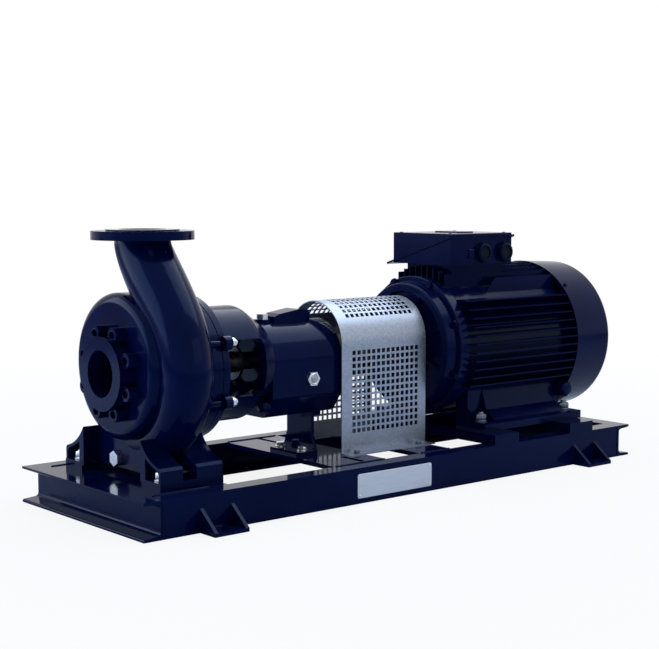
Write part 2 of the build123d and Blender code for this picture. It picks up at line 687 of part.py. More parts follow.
def fan_end_shield():
    """Rear end shield inside the cowl, with its bearing hub turned inwards."""
    x0, x1 = BODY_X[1], BODY_X[1] + 10
    body = turned([(x0, 0), (x0, 160), (x1 - 4, 160), (x1, 120), (x1, 0)])
    return body - rod(MOTOR_SHAFT_R + RUN, x0 - 1, x1 + 1)


GRILLE_R = (52.0, 172.0)
GRILLE_PITCH = 15.0
GRILLE_SLOT = 8.0
GRILLE_SPOKES = 6
GRILLE_SPOKE_W = 9.0


def cowl_grille():
    """Cutter for the air inlet: round slots broken by spokes."""
    x0, x1 = COWL_X[1] - 3 * COWL_T, COWL_X[1] + 1
    count = int((GRILLE_R[1] - GRILLE_R[0]) / GRILLE_PITCH)
    rings = []
    for k in range(count):
        r = GRILLE_R[0] + GRILLE_PITCH * k
        rings.append(rod(r + GRILLE_SLOT, x0, x1) - rod(r, x0 - 1, x1 + 1))
    w = GRILLE_SPOKE_W / 2
    spoke = box(x0 - 1, x1 + 1, -w, w, SHAFT_Z + GRILLE_R[0] / 2, SHAFT_Z + GRILLE_R[1] + GRILLE_PITCH)
    spokes = [about_shaft(spoke, 360 / GRILLE_SPOKES * k) for k in range(GRILLE_SPOKES)]
    return [ring - spokes for ring in rings]


def fan_cowl():
    """Sheet cowl round the fan with a slotted grille at its end."""
    x0, x1 = COWL_X
    r0, r1, t = COWL_R, COWL_R - COWL_TAPER, COWL_T
    body = turned([(x0, 0), (x0, r0), (x1, r1), (x1, 0)], [(2, COWL_ROUND)])
    body -= turned([(x0 - 1, 0), (x0 - 1, r0 - t), (x1 - t, r1 - t), (x1 - t, 0)], [(2, COWL_ROUND - t)])
    return body - cowl_grille()


# Terminal box
BOX_X = (232.0, 448.0)
BOX_Y = 102.0
BOX_LOW = 505.0
BOX_TOP = 582.0
SEAM_Z = (576.0, 512.0)
RIM = 5.0
RIM_OUT = 20.0
GLAND_X = (349.0, 425.0)
GLAND_Z = 534.0
GLAND_R = 21.0


def seam(y):
    """Height of the sloping joint between terminal box and lid."""
    return blend(SEAM_Z, (y + BOX_Y) / (2 * BOX_Y))


def terminal_box():
    """Body of the terminal box, cut off on a slope and turned out as a rim that the lid sits on."""
    y, far = BOX_Y, BOX_Y + RIM_OUT
    lower = Polyline((-y, BOX_LOW), (y, BOX_LOW), (y, seam(y) - 1), (-y, seam(-y) - 1), close=True)
    rim = Polyline((-y - RIM, seam(-y - RIM) - RIM), (far, seam(far) - RIM), (far, seam(far)),
                   (-y - RIM, seam(-y - RIM)), close=True)
    return along_x(make_face(lower), *BOX_X) + along_x(make_face(rim), BOX_X[0] - RIM, BOX_X[1] + RIM)


def terminal_lid():
    """Lid of the terminal box: a wedge-shaped cap with rounded top edges."""
    y = BOX_Y
    face = make_face(Polyline((-y, seam(-y)), (y, seam(y)), (y, BOX_TOP), (-y, BOX_TOP), close=True))
    return along_x(softened(face, [(y, BOX_TOP), (-y, BOX_TOP)], 3.0), *BOX_X)


def cable_gland(x):
    """Cable entry in the front of the box: hexagon on the wall and a round cap nut."""
    nut = extrude(RegularPolygon(GLAND_R, 6), 5)
    cap = Pos(0, 0, 5) * extrude(Circle(GLAND_R - 3.5), 6)
    body = nut + chamfer(cap.faces().sort_by(Axis.Z)[-1].edges(), 1.5)
    return Pos(x, -BOX_Y, GLAND_Z) * Rot(90, 0, 0) * body


EYE_X = (238.0, 256.0)
EYE_ANGLE = 52.0
EYE_FOOT = 15.0
EYE_HOLE_R = 6.0
EYE_LUG_R = 12.0
EYE_RISE = 17.0


def lifting_eye():
    """Cast lifting lug on the motor's far shoulder."""
    z = SHAFT_Z + BODY_R - 4
    foot = make_face(Polyline((-EYE_FOOT, z), (EYE_FOOT, z), (EYE_LUG_R, z + EYE_RISE), (-EYE_LUG_R, z + EYE_RISE), close=True))
    face = foot + Pos(0, z + EYE_RISE) * Circle(EYE_LUG_R) - Pos(0, z + EYE_RISE) * Circle(EYE_HOLE_R)
    lug = about_shaft(along_x(face, *EYE_X), EYE_ANGLE - 90)
    return lug - rod(BODY_R, EYE_X[0] - 1, EYE_X[1] + 1)


for side, name in ((-1, "front"), (1, "back")):
    save(rail(side), "frame_rail_" + name)
for side, name in ((-1, "pump"), (1, "motor")):
    save(end_channel(side), "frame_end_" + name)
save(cross_channel(CASING_PLATE_X1), "casing_cross_member")
save(frame_plate(CHANNEL_B - FRAME_L / 2, CASING_PLATE_X1 - CHANNEL_B), "casing_plate")
save(slotted_plate(), "bearing_support_plate")
save(frame_plate(*GUARD_PLATE), "guard_plate")
for (x0, x1), name in zip(MOTOR_BARS, ("drive_end", "fan_end")):
    save(motor_bar(x0, x1), "motor_bar_" + name)
for end, place in ((-1, "pump"), (1, "motor")):
    for side, name in ((-1, "front"), (1, "back")):
        save(foot_bracket(end, side), "foot_bracket_" + place + "_" + name)

save(volute_casing(), "volute_casing")
save(casing_cover(), "casing_cover")
save(bearing_bracket(), "bearing_bracket")
save(bearing_housing(), "bearing_housing")
save(pump_bearing_cover(), "bearing_cover_pump_end")
save(coupling_bearing_cover(), "bearing_cover_coupling_end")
save(support_leg(), "bearing_support_foot")
save(Pos(DRAIN_HEAD_X, *DRAIN) * Rot(0, -90, 0) * hex_plug(30, 14, 6), "drain_plug")
save(Pos(FILLER_X, 0, SHAFT_Z + HOUSING_R + FILLER_BASE[1]) * hex_plug(24, 12, 10), "oil_filler_plug")
save(Pos(SIGHT[0], -HOUSING_R, SIGHT[1]) * Rot(90, 0, 0) * hex_plug(30, 10, 10), "oil_sight_plug")

save(impeller(), "impeller")
save(pump_shaft(), "pump_shaft")
save(coupling_hub(PUMP_HUB_X, HUB_MID - HUB_GAP / 2, PUMP_SHAFT_R, 0), "coupling_hub_pump")
save(coupling_hub(MOTOR_HUB_X, HUB_MID + HUB_GAP / 2, MOTOR_SHAFT_R, 180 / CLAWS), "coupling_hub_motor")
save(coupling_element(), "coupling_element")
save(motor_shaft(), "motor_shaft")
save(cooling_fan(), "cooling_fan")
save(coupling_guard(), "coupling_guard")

save(motor_body(), "motor_body")
for side, name in ((-1, "front"), (1, "back")):
    save(motor_foot(side), "motor_foot_" + name)
save(drive_end_shield(), "drive_end_shield")
save(fan_end_shield(), "fan_end_shield")
save(fan_cowl(), "fan_cowl")
save(terminal_box(), "terminal_box")
save(terminal_lid(), "terminal_box_lid")
for x, name in zip(GLAND_X, "ab"):
    save(cable_gland(x), "cable_gland_" + name)
save(lifting_eye(), "lifting_eye")
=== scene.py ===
import json
from collections import namedtuple
from math import cos, pi, radians, sin

import bpy
import numpy as np
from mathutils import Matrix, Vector


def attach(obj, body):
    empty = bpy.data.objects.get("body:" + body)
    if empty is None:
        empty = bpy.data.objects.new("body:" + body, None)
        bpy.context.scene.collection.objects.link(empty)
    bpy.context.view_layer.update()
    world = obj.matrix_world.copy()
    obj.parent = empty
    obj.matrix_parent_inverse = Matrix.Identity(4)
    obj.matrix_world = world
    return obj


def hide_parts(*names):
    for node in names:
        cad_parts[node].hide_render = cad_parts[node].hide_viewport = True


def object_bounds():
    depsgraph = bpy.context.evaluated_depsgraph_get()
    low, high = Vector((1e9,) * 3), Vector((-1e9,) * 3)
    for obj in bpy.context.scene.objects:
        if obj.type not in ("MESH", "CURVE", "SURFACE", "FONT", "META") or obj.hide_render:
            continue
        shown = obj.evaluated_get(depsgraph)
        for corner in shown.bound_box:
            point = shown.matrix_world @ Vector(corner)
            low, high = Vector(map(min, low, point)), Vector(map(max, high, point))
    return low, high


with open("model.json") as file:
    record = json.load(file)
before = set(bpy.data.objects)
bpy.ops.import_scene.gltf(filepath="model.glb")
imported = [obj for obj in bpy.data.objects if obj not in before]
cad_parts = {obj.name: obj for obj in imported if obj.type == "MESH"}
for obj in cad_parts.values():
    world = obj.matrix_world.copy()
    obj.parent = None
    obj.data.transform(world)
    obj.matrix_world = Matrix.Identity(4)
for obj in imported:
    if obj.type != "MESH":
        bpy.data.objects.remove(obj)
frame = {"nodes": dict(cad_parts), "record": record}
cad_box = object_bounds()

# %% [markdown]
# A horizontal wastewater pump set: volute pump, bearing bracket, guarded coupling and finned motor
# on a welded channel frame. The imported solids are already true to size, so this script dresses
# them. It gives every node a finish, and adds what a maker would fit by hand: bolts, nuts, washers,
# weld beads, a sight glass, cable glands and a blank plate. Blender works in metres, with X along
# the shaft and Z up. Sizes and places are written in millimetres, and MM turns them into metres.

MM = 0.001
SET = "pump_set"
SHAFT_Z, FRAME_TOP, RAIL_FACE = 305, 80, 248
BOTH = (-1, 1)
UP, FRONT, TO_MOTOR, TO_PUMP = (0, 0, 1), (0, -1, 0), (1, 0, 0), (-1, 0, 0)
lowest, highest = cad_box
print("pump set from", [round(v, 3) for v in lowest], "to", [round(v, 3) for v in highest])

# %% [markdown]
# A finish is easier to read as a formula than as a row of nodes. Signal wraps one output of a node,
# and each operator between signals adds one Math node by itself. The reflected operators let a
# plain number stand first, as in 1 - mask.

# %% Signals


class Signal:
    """A number that varies over a surface, ready for arithmetic."""

    def __init__(self, tree, socket):
        self.tree, self.socket = tree, socket

    def math(self, operation, *values):
        """One Math node, with a signal or a plain number on each of its inputs."""
        node = self.tree.nodes.new("ShaderNodeMath")
        node.operation = operation
        for slot, value in zip(node.inputs, values):
            if isinstance(value, Signal):
                self.tree.links.new(value.socket, slot)
            else:
                slot.default_value = value
        return Signal(self.tree, node.outputs["Value"])

    def __add__(self, other):
        return self.math("ADD", self, other)

    def __sub__(self, other):
        return self.math("SUBTRACT", self, other)

    def __rsub__(self, other):
        return self.math("SUBTRACT", other, self)

    def __mul__(self, other):
        return self.math("MULTIPLY", self, other)

    __radd__, __rmul__ = __add__, __mul__

    def clamped(self):
        """The signal kept between 0 and 1."""
        return self.math("MINIMUM", self.math("MAXIMUM", self, 0.0), 1.0)

    def between(self, low, high):
        """0 below low, 1 above high and a straight rise between them."""
        return ((self - low) * (1 / (high - low))).clamped()


# %% [markdown]
# Finish is a material under construction. It holds one Principled shader and one method that makes
# any other node, and gives short names to the few nodes that paints and metals need most.

# %% Finishes under construction
# Sockets of a Mix node that mixes colours: its factor, the two colours and the result
MIX_FACTOR, MIX_FIRST, MIX_SECOND, MIX_RESULT = 0, 6, 7, 2


class Finish:
    """One material: a Principled shader, its constants and what varies over the surface."""

    def __init__(self, name, **constants):
        self.material = bpy.data.materials.new(name)
        self.material.use_nodes = True
        self.tree = self.material.node_tree
        self.tree.nodes.clear()
        self.shader = self.tree.nodes.new("ShaderNodeBsdfPrincipled")
        self.output = self.tree.nodes.new("ShaderNodeOutputMaterial")
        self.tree.links.new(self.shader.outputs["BSDF"], self.output.inputs["Surface"])
        self.place = self.node("ShaderNodeTexCoord", {}, {}, "Object")
        self.vary(**constants)

    def feed(self, node, socket, value):
        """Give a socket a signal, a colour or a plain value."""
        slot = node.inputs[socket]
        if isinstance(value, Signal):
            self.tree.links.new(value.socket, slot)
        elif isinstance(value, tuple) and slot.type == "RGBA":
            slot.default_value = (*value, 1.0)
        else:
            slot.default_value = value

    def node(self, kind, settings, values, output=0):
        """Any node: its type, its settings first, then values or signals for its sockets."""
        made = self.tree.nodes.new(kind)
        for key, value in settings.items():
            setattr(made, key, value)
        for socket, value in values.items():
            self.feed(made, socket, value)
        return Signal(self.tree, made.outputs[output])

    def stretched(self, x, y, z):
        """The place on the object, multiplied along each axis."""
        return self.node("ShaderNodeMapping", {}, {"Vector": self.place, "Scale": (x, y, z)})

    def noise(self, scale, detail=3.0, vector=None):
        """Cloudy noise with this many blobs a metre."""
        values = {"Vector": vector or self.place, "Scale": scale, "Detail": detail}
        return self.node("ShaderNodeTexNoise", {}, values)

    def mix(self, factor, first, second):
        """The first colour where the factor is 0, the second where it is 1."""
        values = {MIX_FACTOR: factor, MIX_FIRST: first, MIX_SECOND: second}
        return self.node("ShaderNodeMix", {"data_type": "RGBA"}, values, MIX_RESULT)

    def axis(self, letter, vector=None):
        """One coordinate of a vector, or else of the place on the object."""
        values = {"Vector": vector or self.place}
        return self.node("ShaderNodeSeparateXYZ", {}, values, letter)

    def vary(self, **inputs):
        """Values or signals for the shader's own sockets, with _ for a space in their names."""
        for key, value in inputs.items():
            self.feed(self.shader, key.replace("_", " "), value)
        return self

    def relief(self, height, depth):
        """Bump whose full height is that depth in metres."""
        values = {"Height": height, "Distance": depth, "Strength": 1.0}
        return self.vary(Normal=self.node("ShaderNodeBump", {}, values))

    def facing_up(self):
        """1 where the surface looks up, 0 where it looks level or down."""
        normal = self.node("ShaderNodeNewGeometry", {}, {}, "Normal")
        return self.axis("Z", normal).between(0.3, 1.0)


# %% [markdown]
# The whole set wears one deep navy enamel. On rolled steel it lies smooth with a faint orange peel.
# On castings it follows the sand grain underneath, so that finish adds a coarse and a fine noise as
# bump. Its reflection is low and tinted blue, or white surroundings would wash the navy out to
# grey, and it is smooth enough to mirror the nuts and webs beside it. The two flange faces are
# machined before they are painted, so no sand grain shows there. A little dust settles on what
# faces up.

# %% Enamel finishes
NAVY, NAVY_LIGHT = (0.0006, 0.0020, 0.0270), (0.0010, 0.0036, 0.0370)
SHEEN, DUST = (0.30, 0.52, 1.0), (0.010, 0.018, 0.050)
DISCHARGE_FACE, SUCTION_FACE = 606 * MM, 691 * MM


def machined(paint):
    """1 on the two flange faces and 0 from a millimetre under them: the discharge flange is known
    by its height, the suction flange by its distance towards the pump end."""
    up, out = paint.axis("Z"), paint.axis("X") * -1
    on_top = up.between(DISCHARGE_FACE - 1 * MM, DISCHARGE_FACE - 0.5 * MM)
    in_front = out.between(SUCTION_FACE - 1 * MM, SUCTION_FACE - 0.5 * MM)
    return (on_top + in_front).clamped()


def enamel(name, grain, gloss, flanged=False):
    """Navy enamel: grain is the height of the skin in metres, gloss the base roughness. The tone
    changes in broad patches, and dust gathers in smaller ones on what faces up."""
    paint = Finish(name, Specular_IOR_Level=0.10, Specular_Tint=SHEEN)
    patches = paint.noise(7.0, detail=4.0).between(0.35, 0.65)
    colour = paint.mix(patches, NAVY, NAVY_LIGHT)
    settled = paint.facing_up() * paint.noise(38.0, detail=6.0).between(0.42, 0.75) * 0.15
    colour = paint.mix(settled, colour, DUST)
    peel = paint.noise(420.0, detail=2.0)
    cast = 1 - machined(paint) if flanged else 1.0
    skin = (paint.noise(95.0, detail=5.0) * 0.6 + peel * 0.4) * cast
    rough = peel * 0.04 + patches * 0.04 + settled * 0.3 + gloss
    paint.vary(Base_Color=colour, Roughness=rough * (cast * 0.7 + 0.3))
    return paint.relief(skin, grain).material


frame_paint = enamel("frame enamel", grain=0.02 * MM, gloss=0.06)
pump_paint = enamel("casting enamel", grain=0.08 * MM, gloss=0.08, flanged=True)
motor_paint = enamel("motor enamel", grain=0.06 * MM, gloss=0.12)
print("enamels:", ", ".join(p.name for p in (frame_paint, pump_paint, motor_paint)))

# %% [markdown]
# Bare metals show how they were made. Zinc plate is pale and a little cloudy, and a darker, duller
# copy of it paints the shade on the bolts of guard and motor. A turned shaft has fine rings round
# it, so its noise is squeezed along the shaft, and its steel is darkened to paint the deep shade
# inside the bearing bracket. Cast iron is dark and rough. The guard is galvanised sheet with a fine
# mottle and a rolled grain that runs up its sides.

# %% Metal finishes
# The darkest and the lightest colour of each
BRIGHT_ZINC = (0.50, 0.53, 0.58), (0.72, 0.74, 0.78)
# Zinc darkened to paint the shade on the bolts of guard and motor
PAINTED_SHADE_ZINC_TONES = (0.07, 0.09, 0.14), (0.17, 0.20, 0.27)
# Steel darkened to paint the deep shade inside the bearing bracket, where the shaft shows
TURNED_STEEL_IN_PAINTED_SHADE = (0.10, 0.10, 0.12), (0.20, 0.20, 0.23)
CAST_IRON = (0.030, 0.032, 0.036), (0.085, 0.085, 0.090)
GALVANISED = (0.20, 0.24, 0.32), (0.36, 0.40, 0.49)


def plated(name, colours, rough):
    """Zinc plate, bright and in a copy darkened for painted shade: one cloudy noise sets both its
    tone and its gloss.
    """
    zinc = Finish(name, Metallic=1.0)
    cloud = zinc.noise(160.0, detail=4.0)
    zinc.vary(Base_Color=zinc.mix(cloud, *colours), Roughness=cloud * 0.18 + rough)
    return zinc.relief(zinc.noise(900.0), 0.03 * MM).material


def turned_steel_in_shade():
    """Noise squeezed along X, so that it reads as rings round the shaft. The steel is dark, which
    paints the deep shade inside the bearing bracket.
    """
    steel = Finish("turned steel in painted shade", Metallic=1.0)
    rings = steel.noise(1.0, detail=2.0, vector=steel.stretched(1800.0, 30.0, 30.0))
    steel.vary(Base_Color=steel.mix(rings, *TURNED_STEEL_IN_PAINTED_SHADE), Roughness=rings * 0.15 + 0.25)
    return steel.relief(rings, 0.03 * MM).material


def rough_iron():
    """Sandy noise that sets tone, roughness and a deep bump alike."""
    iron = Finish("rough cast iron", Metallic=0.6)
    sand = iron.noise(240.0, detail=6.0)
    iron.vary(Base_Color=iron.mix(sand, *CAST_IRON), Roughness=sand * 0.3 + 0.45)
    return iron.relief(sand, 0.4 * MM).material


def rolled_sheet():
    """A fine mottle, mixed with half as much noise drawn out along Z for the rolled grain."""
    sheet = Finish("rolled guard sheet", Metallic=1.0)
    grain = sheet.noise(1.0, detail=3.0, vector=sheet.stretched(900.0, 900.0, 60.0))
    mottle = sheet.noise(230.0, detail=6.0).between(0.3, 0.7)
    tone = grain * 0.35 + mottle * 0.65
    sheet.vary(Base_Color=sheet.mix(tone, *GALVANISED), Roughness=mottle * 0.12 + 0.34)
    return sheet.relief(tone, 0.02 * MM).material


# %% [markdown]
# The coupling's element is black rubber, and the glands and the fan are dark plastic. Both come out
# of a mould, so they share one finish: dull, with a fine mottle. The table then gives each slot of
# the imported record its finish.

# %% Moulded finishes and the table
BLACK_RUBBER = (0.004, 0.005, 0.008), (0.011, 0.012, 0.016)
DARK_PLASTIC = (0.0006, 0.0020, 0.014), (0.0012, 0.0040, 0.024)


def moulded(name, colours, rough):
    """Rubber or plastic with a fine moulded texture."""
    skin = Finish(name, Specular_IOR_Level=0.08, Specular_Tint=SHEEN)
    mottle = skin.noise(500.0, detail=4.0)
    skin.vary(Base_Color=skin.mix(mottle, *colours), Roughness=mottle * 0.2 + rough)
    return skin.relief(mottle, 0.08 * MM).material


finishes = {
    "frame_paint": frame_paint,
    "pump_paint": pump_paint,
    "motor_paint": motor_paint,
    "zinc_steel": plated("zinc plate", BRIGHT_ZINC, rough=0.2),
    "shaft_steel": turned_steel_in_shade(),
    "cast_iron": rough_iron(),
    "coupling_rubber": moulded("spider rubber", BLACK_RUBBER, rough=0.6),
    "guard_sheet": rolled_sheet(),
    "black_plastic": moulded("gland plastic", DARK_PLASTIC, rough=0.35),
}
ZINC = finishes["zinc_steel"]
# A darker, duller copy of the zinc: painted shade for the bolts of guard and motor
PAINTED_SHADE_ZINC = plated("zinc with painted shade", PAINTED_SHADE_ZINC_TONES, rough=0.3)
print("finishes:", ", ".join(finishes))

# %% [markdown]
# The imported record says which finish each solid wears. The castings are painted, but the impeller
# and the coupling hubs stay bare iron, as they do on the real machine.

# %% Finishes on the solids
for part in frame["record"]["subparts"]:
    mesh = frame["nodes"][part["node"]].data
    mesh.materials.clear()
    mesh.materials.append(finishes[part["material_slot"]])
print(len(frame["nodes"]), "solids dressed")

# %% [markdown]
# Every added piece is a surface over two parameters, worked out as whole arrays of points. Most are
# turned on a lathe in real life, so a list of heights and radii says all there is to say. join_up
# links the grid of points into faces and closes each end with a fan to one middle point, so the
# piece is a closed skin. A shape is a pair: its points in metres and its faces.

# %% Turned surfaces


def turned(rows, sides, radius=None):
    """Points of a turned form: each row is (height, radius) and makes one ring. Where the outline
    isn't round, a point takes the smaller of that radius and radius(angle, height)."""
    rows = np.asarray(rows, float)
    angle = np.arange(sides) * 2 * pi / sides
    a, h = np.meshgrid(angle, rows[:, 0])
    r = np.repeat(rows[:, 1:2], sides, axis=1)
    if radius is not None:
        r = np.minimum(r, radius(a, h))
    return np.stack([r * np.cos(a), r * np.sin(a), h], axis=2)


def hexagon(across):
    """Distance from the middle to the side of a hexagon, by angle: half the width across the flats
    over the cosine of the angle to the nearest flat's middle."""
    return lambda a, h: across / 2 / np.cos((a + pi / 6) % (pi / 3) - pi / 6)


def join_up(grid):
    """The shape over a grid of rings: a face between neighbours, and a fan at both ends."""
    count, sides = grid.shape[:2]
    k = np.arange(count * sides).reshape(count, sides)
    low, high, turn = k[:-1], k[1:], np.roll(k, -1, axis=1)
    quads = np.stack([low, turn[:-1], turn[1:], high], axis=2).reshape(-1, 4)
    ends = np.stack([grid[0].mean(axis=0), grid[-1].mean(axis=0)])
    first, last = count * sides, count * sides + 1
    fan_low = np.stack([turn[0], k[0], np.full(sides, first)], axis=1)
    fan_high = np.stack([k[-1], turn[-1], np.full(sides, last)], axis=1)
    points = np.concatenate([grid.reshape(-1, 3), ends])
    return points, [*quads.tolist(), *fan_low.tolist(), *fan_high.tolist()]


def lathe(rows, sides, radius=None):
    """Closed turned shape, from rows of (height, radius) in millimetres."""
    return join_up(turned(rows, sides, radius) * MM)


# %% [markdown]
# A shape is worked out once and then set down wherever the real piece is repeated. A place is a
# point and the way that the shape looks there. All copies together make one object, which takes a
# finish and rides on the body that it is bolted to.

# %% Placing


def merged(shapes):
    """Several shapes as one: the faces of each count on from the points before it."""
    points, faces, start = [], [], 0
    for more, corners in shapes:
        points.append(more)
        faces += [[i + start for i in face] for face in corners]
        start += len(more)
    return np.concatenate(points), faces


def at(x, y, z, axis):
    """One place in millimetres, and the way that a shape set down there looks."""
    return [(x * MM, y * MM, z * MM, axis)]


def frame_of(axis):
    """The axis at length 1, and two directions square to it and to each other."""
    axis = np.asarray(axis, float) / np.linalg.norm(axis)
    side = np.cross(axis, (0, 0, 1) if abs(axis[2]) < 0.9 else (1, 0, 0))
    side /= np.linalg.norm(side)
    return axis, side, np.cross(axis, side)


def set_down(shape, places):
    """Copies of a shape with their foot at each (x, y, z, axis)."""
    points, faces = shape
    copies = []
    for x, y, z, axis in places:
        up, side, across = frame_of(axis)
        copies.append((points @ np.stack([side, across, up]) + np.array([x, y, z]), faces))
    return merged(copies)


def piece(name, shapes, finish, slot, body=SET, crease=35):
    """One object from its shapes, riding on a body of the set."""
    points, faces = merged(shapes)
    mesh = bpy.data.meshes.new(name)
    mesh.from_pydata(points.tolist(), [], faces)
    mesh.shade_smooth()
    mesh.set_sharp_from_angle(angle=radians(crease))
    mesh.materials.append(finish)
    made = bpy.data.objects.new(name, mesh)
    bpy.context.scene.collection.objects.link(made)
    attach(made, body)
    print(name, len(mesh.polygons), "faces")
    return made


# %% [markdown]
# Hexagon heads, nuts and washers follow the standard sizes for each thread, since a bolt of the
# wrong size is the first thing that an eye for machines picks out. The chamfer of a head is the
# smaller of two radii: the hexagon's and a cone's. Threads are a real helix: the radius rises and
# falls with the height less the turn.

# %% Washers, nuts and threads
Thread = namedtuple("Thread", "across head nut washer thick")
# Across the flats, height of head and of nut, diameter and thickness of washer, by thread size
SIZES = {
    5: Thread(8, 3.5, 4, 10, 1),
    8: Thread(13, 5.3, 6.8, 16, 1.6),
    10: Thread(16, 6.4, 8.4, 20, 2),
    12: Thread(18, 7.5, 10.8, 24, 2.5),
    16: Thread(24, 10, 14.8, 30, 3),
}


def washer(size):
    """A disc with a small bevel round both rims."""
    outside, thick = SIZES[size].washer / 2, SIZES[size].thick
    edge = 0.15 * thick
    rows = [(0, outside - edge), (edge, outside), (thick - edge, outside), (thick, outside - edge)]
    return lathe(rows, 36)


def hex_block(size, height, lift):
    """Hexagon from lift to lift + height, chamfered by a cone at both ends."""
    across = SIZES[size].across
    tip, beyond_corners, drop = across / 2 * 0.95, across * 0.6, height * 0.14
    rows = [(0, tip), (drop, beyond_corners), (height - drop, beyond_corners), (height, tip)]
    return lathe([(h + lift, r) for h, r in rows], 36, hexagon(across))


def thread(size, low, high):
    """Threaded end: the radius falls and rises along a helix, and narrows to a point at the top."""
    r, pitch = size / 2, 0.1 * size + 0.35
    heights = np.arange(low, high - pitch, pitch / 4)
    rows = [(h, r) for h in heights] + [(high - pitch / 2, r * 0.92), (high, r * 0.8)]

    def helix(a, h):
        """The radius less 0.3 of the pitch times a zigzag of the height less the turn."""
        return r - 0.3 * pitch * np.abs(((h / pitch - a / (2 * pi)) % 1) * 2 - 1)

    return lathe(rows, 24, helix)


# %% [markdown]
# A fastener is a washer with a bolt's head, or with a nut and the end of its stud. They stand in
# pairs on the feet of casing, bearing support, guard and motor. Those of guard and motor wear a
# darker, duller zinc, which paints the shade on them.

# %% Fasteners of the feet


def bolts(name, size, places, kind="head", finish=ZINC, slot="zinc_steel", spare=6):
    """Washer with a bolt head, or with a nut and the end of a stud, at every place."""
    lift = SIZES[size].thick
    parts = [washer(size)]
    if kind == "head":
        parts.append(hex_block(size, SIZES[size].head, lift))
    else:
        top = lift + SIZES[size].nut
        parts += [hex_block(size, SIZES[size].nut, lift), thread(size, top - 1, top + spare)]
    return piece(name, [set_down(p, places) for p in parts], finish, slot)


def pairs(xs, y, z):
    """Places at each x on both sides of the shaft line, looking up."""
    return [(x * MM, s * y * MM, z * MM, UP) for x in xs for s in BOTH]


# Heights of the seats under the feet's nuts and bolts
CASING_SEAT, SUPPORT_SEAT, GUARD_SEAT, MOTOR_SEAT = 98, 89, 82, 125
bolts("casing_foot_nuts", 16, pairs((-646, -545), 160, CASING_SEAT), "nut", spare=4)
bolts("support_foot_bolts", 12, pairs((-182,), 41, SUPPORT_SEAT))
# The bolts of guard and motor wear the darker zinc, which paints their shade
bolts("guard_bolts", 8, pairs((-80, 115), 117, GUARD_SEAT), finish=PAINTED_SHADE_ZINC)
bolts("motor_foot_nuts", 16, pairs((284, 589), 159, MOTOR_SEAT), "nut", finish=PAINTED_SHADE_ZINC, spare=5)

# %% [markdown]
# Four long studs draw the bearing bracket against the casing. They show in the gap outside the
# cover, and their nuts sit on the bracket's lugs. The stud is a painted plain bar in the middle and
# threaded where the nut is.

# %% Studs of the bearing bracket
STUD_CIRCLE, STUD_ANGLES = 165, (22.5, 157.5, 202.5, 337.5)
STUD_START, LUG_FACE = -520, -467


def around(x, radius, degrees, axis=None):
    """Places at these angles round the shaft line, looking along the axis or else outward."""
    places = []
    for a in (radians(d) for d in degrees):
        y, z = radius * MM * cos(a), SHAFT_Z * MM + radius * MM * sin(a)
        places.append((x * MM, y, z, axis or (0, cos(a), sin(a))))
    return places


nut_places, stud_places = (around(x, STUD_CIRCLE, STUD_ANGLES, TO_MOTOR)
                           for x in (LUG_FACE, STUD_START))
bolts("bracket_stud_nuts", 12, nut_places, "nut", spare=5)
shank = lathe([(0, 5.6), (1, 6), (34, 6), (35, 5.6)], 24)
piece("bracket_studs", [set_down(shank, stud_places)], pump_paint, "pump_paint")

# %% [markdown]
# Covers, shields and cowl are held by smaller screws, painted over with the rest of the machine.
# Their heads are read mostly by the small highlights on their flats.

# %% Painted screws
# Where the screws seat along the shaft, and the top of the terminal box's lid
SHIELD_X, CAP_X, COVER_X, COWL_X, LID_TOP = 202, 168, -94, 612, 582
on_motor = {"finish": motor_paint, "slot": "motor_paint"}
on_pump = {"finish": pump_paint, "slot": "pump_paint"}


def evenly(count, start):
    """Angles in degrees that share a circle evenly, from the first."""
    return [start + 360 / count * k for k in range(count)]


bolts("shield_bolts", 10, around(SHIELD_X, 166, evenly(8, 22.5), TO_PUMP), **on_motor)
bolts("cap_screws", 8, around(CAP_X, 73, evenly(4, 45), TO_PUMP), **on_motor)
bolts("bearing_cover_screws", 8, around(COVER_X, 65, evenly(6, 30), TO_MOTOR), **on_pump)
bolts("cowl_screws", 5, around(COWL_X, 197, evenly(4, 45)), **on_motor)
pan_head = lathe([(0, 4.6), (0.7, 4.4), (1.2, 3.6), (1.5, 2)], 24)
piece("lid_screws", [set_down(pan_head, pairs((246, 434), 88, LID_TOP))], **on_motor)

# %% [markdown]
# Welded frames show their beads: along the edges of the three seat plates, up the frame's corners,
# beside the motor's cross bars and round the ribs of the anchor feet. A bead is a round bar along
# the joint whose radius swells and sinks with each drop of weld metal, so it is a tube over two
# parameters: the way along the path and the angle round it.

# %% Weld beads


def bead(start, end, radius=2.6, drop=5):
    """Tube from start to end: its radius is a base value plus a bump for every drop of metal."""
    start, end = np.asarray(start, float) * MM, np.asarray(end, float) * MM
    radius, drop = radius * MM, drop * MM
    length = np.linalg.norm(end - start)
    s = np.linspace(0, length, max(4, int(length / drop * 4)))
    swell = radius * (0.82 + 0.18 * np.abs(np.sin(pi * s / drop)))
    fade = np.sqrt(np.clip(np.minimum(s, length - s) / radius, 0.05, 1))
    shape = join_up(turned(np.stack([s, swell * fade], axis=1), 10))
    return set_down(shape, [(*start, end - start)])


